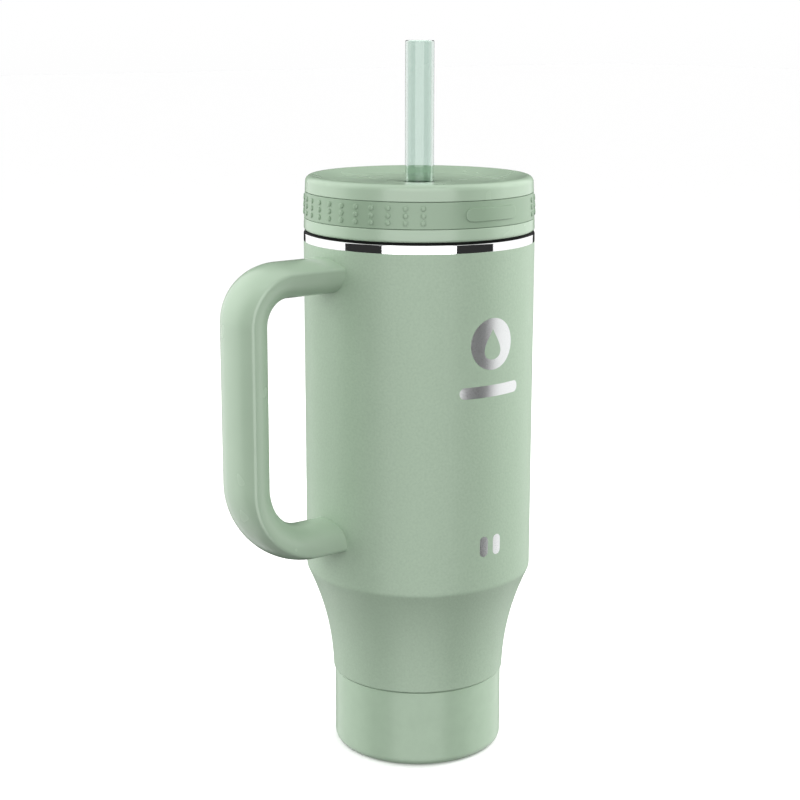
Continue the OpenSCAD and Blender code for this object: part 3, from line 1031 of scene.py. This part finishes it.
    def build(self) -> None:
        """Makes both halves with their screw holes, and the screws."""
        crown, grip = (piece(name, self.carried(section), "cup", PLASTIC, (node,))
                       for name, section, node in (("handle_crown", self.crown(), "handle_outer"),
                                                   ("handle_grip", self.grip(), "handle_inner")))
        top, low = self.top_z - self.depth_in, self.low_z - self.crown_h
        mid = (self.depth_in - self.wall + self.tang_t) / 2
        low_tang = self.low_z + mid - self.tang_t
        for name, half, skin, foot, tang in (("screw_upper", grip, top, top + 1, self.top_z - mid),
                                             ("screw_lower", crown, low, self.low_z - 1, low_tang)):
            applied(half, self.post(foot, tang), "UNION")
            applied(half, self.screw_hole(skin, tang + 1), "DIFFERENCE")
            self.screw(name, skin, tang + self.tang_t)
        for node in ("upper_bracket", "lower_bracket"):
            dress(node, SHEET)


# ---------------------------------------------------------------- lid


@dataclass
class Lid:
    """The twist-off lid: ring and plug, grip band, dished top, collar and seals."""

    draft: float = 2.24
    edge: float = 1.3
    top_fillet: float = 2.7
    land: float = 2.8
    dish_r: float = 37.5
    dish_depth: float = 2.5
    wall: float = 2.2
    gap: float = 0.15
    core_inset: float = 3.0
    plug_inset: float = 5.4
    plug_z: float = 214.0
    guide_r: float = 6.9
    sleeve_r: float = 9.0
    sleeve_wall: float = 2.0
    ledge_z: float = 238.0
    collar_r: float = 13.9
    collar_t: float = 3.0
    dimple_r: float = 10.9
    dimple: float = 0.6
    hole_r: float = 6.6
    thread_up: float = 1.35
    bump_d: float = 2.3
    bump_h: float = 0.6
    bump_sunk: float = 0.4
    row_pitch: float = 3.0
    columns: int = 35
    first_column: float = 36.1
    bar: tuple[float, float, float] = (27.0, 5.5, 0.5)
    bar_round: float = 0.3

    def __post_init__(self) -> None:
        """Reads the sizes that the frame holds."""
        self.base_z = span("lid_gasket")[1][2]
        self.base_r = span("lid_body")[1][0]
        band_low, band_high = span("grip_band")
        self.band_z = (band_low[2], band_high[2])
        body_r = span("outer_shell")[1][0]
        self.core_r = body_r - self.core_inset
        self.plug_r = body_r - self.plug_inset
        self.top_z = span("lid_cap")[1][2]
        self.dish_z = self.top_z - self.dish_depth

    def side(self, z: float | np.ndarray) -> float | np.ndarray:
        """Radius of the lid's drafted side at a height."""
        return self.base_r - (z - self.base_z) * tan(radians(self.draft))

    def ring(self) -> Mesh:
        """The lower ring with the core that the band sits on, and the plug with its thread."""
        z, low = self.base_z, self.plug_z
        z0, z1 = self.band_z[0] - self.gap, self.band_z[1] + self.gap
        core, wall, plug = self.core_r, self.wall, self.plug_r
        back, over = core - wall, z + wall
        outline = rounded([(self.base_r, z, self.edge), (self.side(z0), z0, 0.3), (core, z0, 0.2),
                           (core, z1, 0.2), (back, z1, 0.2), (back, over, 0.4), (plug - wall, over, 0.4),
                           (plug - wall, low, 0.3), (plug, low, 0.8), (plug, z, 0.2)])
        return lathe(supported(outline)) + THREAD.ridge(plug, True, self.plug_z + self.thread_up)

    def cap(self) -> Mesh:
        """The dished top with its collar pocket and the sleeve that guides the straw."""
        z1 = self.band_z[1] + self.gap
        rim, dish, under = self.side(self.top_z), self.dish_z, self.dish_z - self.wall
        out, pocket = self.sleeve_r + self.sleeve_wall, self.dish_z - self.collar_t
        floor, inner = pocket - self.wall, self.core_r - self.wall
        collar = self.collar_r + 0.08
        outline = rounded([
            (self.side(z1), z1, 0.3), (rim, self.top_z, self.top_fillet), (rim - self.land, self.top_z, 0.9),
            (self.dish_r, dish, 1.2), (collar, dish, 0.2), (collar, pocket, 0.2),
            (self.sleeve_r, pocket, 0.2), (self.sleeve_r, self.ledge_z, 0.2),
            (self.guide_r, self.ledge_z, 0.3), (self.guide_r, self.plug_z, 0.5), (out, self.plug_z, 0.3),
            (out, floor, 0.6), (collar + self.wall, floor, 0.4), (collar + self.wall, under, 0.6),
            (self.dish_r, under, 4.0), (inner, dish - 0.3, 0.5), (inner, z1, 0.2)])
        return lathe(supported(outline, longest=2.0))

    def dome(self, angle: float, z: float) -> Mesh:
        """A bump on the band: a short steep side, a rounded shoulder and a slightly domed top.

        Args:
            angle: its place round the axis, in radians.
            z: its height.
        Returns:
            The closed bump, sunk a little into the band.
        """
        a, h = self.bump_d / 2, self.bump_h
        outline = rounded([(0, -self.bump_sunk, 0), (a, -self.bump_sunk, 0), (a - 0.04, h - 0.2, 0.2),
                           (a / 2, h - 0.04, 0.8), (0, h, 0)], closed=False, steps=3)
        turned = lathe(outline, closed=False, around=14)
        x, y, up = turned.points.T
        rho = self.side(z) + up
        points = np.stack([rho * cos(angle) - x * sin(angle), rho * sin(angle) + x * cos(angle), z + y], 1)
        return Mesh(points, turned.quads)

    def band(self) -> Mesh:
        """The grip band, its columns of bumps, and a plain raised bar in the gap at the front."""
        z0, z1 = self.band_z
        inner, middle = self.core_r + 0.02, (z0 + z1) / 2
        body = lathe(supported(rounded([(inner, z0, 0.1), (self.side(z0), z0, 0.25),
                                        (self.side(z1), z1, 0.25), (inner, z1, 0.1)])))
        for angle in np.linspace(self.first_column, 360 - self.first_column, self.columns):
            for row in (-1, 0, 1):
                body += self.dome(radians(angle - 90), middle + row * self.row_pitch)
        return body + self.raised_bar(middle)

    def raised_bar(self, middle: float) -> Mesh:
        """A bar with round ends on the band's front, its upper edge eased by a quarter round."""
        width, height, proud = self.bar
        x, y = width / 2, height / 2
        outline = supported(box_outline(-x, x, -y, y, y - 0.1), longest=1.0)
        length = np.linalg.norm(outline, axis=1)[:, None]
        ease = np.radians(np.linspace(0, 90, 5))[:, None, None]
        edge = outline * (1 - (1 - np.cos(ease)) * self.bar_round / length)
        under = np.linspace(0, 1, 6)[:, None, None] * outline
        top = np.linspace(1, 0, 16)[1:, None, None] * edge[-1]
        flat = np.concatenate([under, edge, top])
        rise = proud - self.bar_round + self.bar_round * np.sin(ease[:, 0, 0])
        h = np.concatenate([np.full(6, -self.bar_round), rise, np.full(15, proud)])
        u, v = flat[..., 0], flat[..., 1]
        rho = self.side(middle + v) + h[:, None]
        angle = u / self.side(middle) - pi / 2
        points = np.stack([rho * np.cos(angle), rho * np.sin(angle), middle + v], -1)
        return Mesh(points.reshape(-1, 3), grid_faces(*flat.shape[:2], False, True))

    def collar(self) -> Mesh:
        """The disc round the straw: flush at its edge, with a shallow cone down to the hole, on a stem."""
        z, stem = self.dish_z, span("straw_collar")[0][2]
        stem_r, under = self.sleeve_r - 0.05, z - self.collar_t
        outline = rounded([(self.hole_r, z - self.dimple, 0.35), (self.dimple_r, z, 6.0),
                           (self.collar_r, z, 0.2), (self.collar_r, under, 0.2), (stem_r, under, 0.1),
                           (stem_r, stem, 0.3), (self.hole_r, stem, 0.3)])
        return lathe(supported(outline), around=128)

    def gasket(self) -> Mesh:
        """The ring that the lid closes on: a real gasket, but its near-black colour is painted shadow of the
        gap between the lid and the rim.
        """
        low, high = span("lid_gasket")
        return lathe(supported(box_outline(self.core_r - 0.4, high[0], low[2], high[2], 0.35)))

    def build(self) -> None:
        """Makes the lid's pieces and dresses its hidden ones."""
        piece("lid_ring_plug", self.ring(), "lid", PLASTIC, ("lid_body",))
        piece("lid_top", self.cap(), "lid", PLASTIC, ("lid_cap",))
        piece("band_bumped", self.band(), "lid", GRIP, ("grip_band",))
        piece("collar_disc", self.collar(), "lid", PLASTIC, ("straw_collar",))
        # the gasket ring's black stands in for the shadow in the gap under the lid: painted shade on a real
        # part
        piece("gasket_ring_painted_gap_shadow", self.gasket(), "lid_carrier", GASKET_PAINTED_GAP_SHADOW, ("lid_gasket",))
        dress("lid_liner", PLASTIC)
        dress("straw_seal", PALE_SEAL)


@dataclass
class Straw:
    """The clear straw, a tube with fire-rounded ends."""

    wall: float = 1.1
    end_round: float = 0.45

    def build(self) -> None:
        """Makes the tube."""
        low, high = span("straw")
        outline = box_outline(high[0] - self.wall, high[0], low[2], high[2], self.end_round)
        tube = lathe(supported(outline, longest=6.0), around=128)
        piece("straw_tube", tube, "straw", CLEAR, ("straw",))


# ---------------------------------------------------------------- studio


@dataclass(frozen=True)
class Lamp:
    """A soft light: its angle to the right of the camera, power, height, size and reach."""

    name: str
    angle: float
    watts: float
    z: float = 0.45
    size: tuple[float, float] = (0.5, 0.9)
    reach: float = 0.9


@dataclass(frozen=True)
class Card:
    """A card that only gloss sees: where it starts and ends, to the right of the camera, and its light."""

    name: str
    start: float
    end: float
    light: float


@dataclass
class Studio:
    """A white room with cards for the gloss, soft lights, a pale floor and the camera."""

    azimuth: float = -38.1
    pitch: float = 12.35
    roll: float = 0.195
    distance: float = 0.746
    eye_z: float = 0.3259
    lens: float = 77.36
    shift: tuple[float, float] = (-0.0233, -0.0126)
    card_r: float = 0.9
    card_z: tuple[float, float] = (-1.2, 1.5)
    sky: float = 1.0
    ground: float = 0.3
    cards: tuple[Card, ...] = (
        Card("left_white", -152, -75.4, 1.12), Card("left_dark", -75.4, -35.4, 0.03),
        Card("front_white", -35.4, 35.5, 2.8), Card("right_dark", 35.5, 75.5, 0.03),
        Card("right_white", 75.5, 152, 1.12), Card("back_dark", 152, 208, 0.03))
    lamps: tuple[Lamp, ...] = (
        Lamp("left_box", -105, 6.4), Lamp("right_box", 105, 7.9), Lamp("right_back_box", 150, 3.7),
        Lamp("front_fill", -6, 1.9, 0.7, (0.5, 0.7)))
    aim_z: float = 0.16
    floor_side: float = 8.0

    def turned(self, angle: float, reach: float, z: float) -> Vector:
        """A place at an angle to the right of the camera, seen from the object's axis."""
        a = radians(self.azimuth + angle)
        return Vector((reach * sin(a), -reach * cos(a), z))

    def camera(self) -> None:
        """A camera that looks down a little, with its roll."""
        data = bpy.data.cameras.new("camera")
        data.sensor_width, data.lens = 36.0, self.lens
        data.shift_x, data.shift_y = self.shift
        made = linked("camera", data)
        turn = Matrix.Rotation(radians(self.azimuth), 4, "Z")
        tilt = Matrix.Rotation(radians(90 - self.pitch), 4, "X")
        made.matrix_world = (Matrix.Translation(self.turned(0, self.distance, self.eye_z)) @ turn @ tilt
                             @ Matrix.Rotation(radians(self.roll), 4, "Z"))
        bpy.context.scene.camera = made

    def lamp(self, lamp: Lamp) -> None:
        """An area light that faces the middle of the object and shows in no reflection."""
        data = bpy.data.lights.new(lamp.name, "AREA")
        data.shape = "RECTANGLE"
        data.size, data.size_y = lamp.size
        data.energy = lamp.watts
        made = linked(lamp.name, data)
        place = self.turned(lamp.angle, lamp.reach, lamp.z)
        aim = Vector((0, 0, self.aim_z)) - place
        made.matrix_world = Matrix.Translation(place) @ aim.to_track_quat("-Z", "Y").to_matrix().to_4x4()
        made.visible_camera = False
        made.visible_glossy = False
        made.visible_transmission = False

    def stage_piece(self, name: str, points: np.ndarray, quads: np.ndarray, material: bpy.types.Material,
                    unseen: tuple[str, ...]) -> None:
        """A mesh that belongs to the room.

        Args:
            name: its name.
            points: its points in metres.
            quads: its faces.
            material: its surface.
            unseen: kinds of ray that pass through it.
        """
        data = bpy.data.meshes.new(name)
        data.from_pydata(points.tolist(), [], quads.tolist())
        data.materials.append(material)
        made = linked(name, data)
        for ray in unseen:
            setattr(made, "visible_" + ray, False)

    def card(self, card: Card) -> None:
        """A glowing strip of a cylinder round the object."""
        glow = bpy.data.materials.new("card_" + card.name)
        glow.use_nodes = True
        glow.node_tree.nodes.clear()
        light = add(glow.node_tree, "Emission", inputs={"Strength": card.light})
        add(glow.node_tree, "OutputMaterial", inputs={"Surface": light.outputs[0]})
        a = np.radians(np.linspace(card.start, card.end, 17) + self.azimuth)
        ring = np.stack([self.card_r * np.sin(a), -self.card_r * np.cos(a)], 1)
        points = np.vstack([np.column_stack([ring, np.full(17, z)]) for z in self.card_z])
        self.stage_piece("card_" + card.name, points, grid_faces(2, 17, False, False), glow,
                         ("camera", "diffuse", "transmission", "shadow", "volume_scatter"))

    def world(self) -> None:
        """White above, and greyer towards straight down, so that undersides stay dim."""
        made = bpy.data.worlds.new("white_room")
        made.use_nodes = True
        tree = made.node_tree
        ray = add(tree, "TexCoord").outputs["Generated"]
        up = add(tree, "SeparateXYZ", inputs={"Vector": ray}).outputs["Z"]
        level = add(tree, "MapRange", {"interpolation_type": "SMOOTHSTEP"}, {
            "Value": up, "From Min": -0.5, "From Max": 0.0, "To Min": self.ground, "To Max": self.sky})
        tree.links.new(level.outputs["Result"], tree.nodes["Background"].inputs["Strength"])
        tree.nodes["Background"].inputs["Color"].default_value = linear("#FFFFFF")
        bpy.context.scene.world = made

    def build(self) -> None:
        """Makes the room."""
        bpy.context.scene.view_settings.view_transform = "Standard"
        self.world()
        corners = self.floor_side * np.array([[-1, -1, 0], [1, -1, 0], [1, 1, 0], [-1, 1, 0]])
        self.stage_piece("floor", corners, np.array([[0, 1, 2, 3]]), SWEEP.material(),
                         ("diffuse", "glossy", "shadow"))
        for card in self.cards:
            self.card(card)
        for lamp in self.lamps:
            self.lamp(lamp)
        self.camera()


# ---------------------------------------------------------------- all together


def main() -> None:
    """Builds the tumbler in its room."""
    logging.basicConfig(level=logging.INFO, format="%(name)s: %(message)s")
    Cup().build()
    Boot().build()
    Handle().build()
    Lid().build()
    Straw().build()
    Studio().build()


if __name__ == "__main__":
    main()
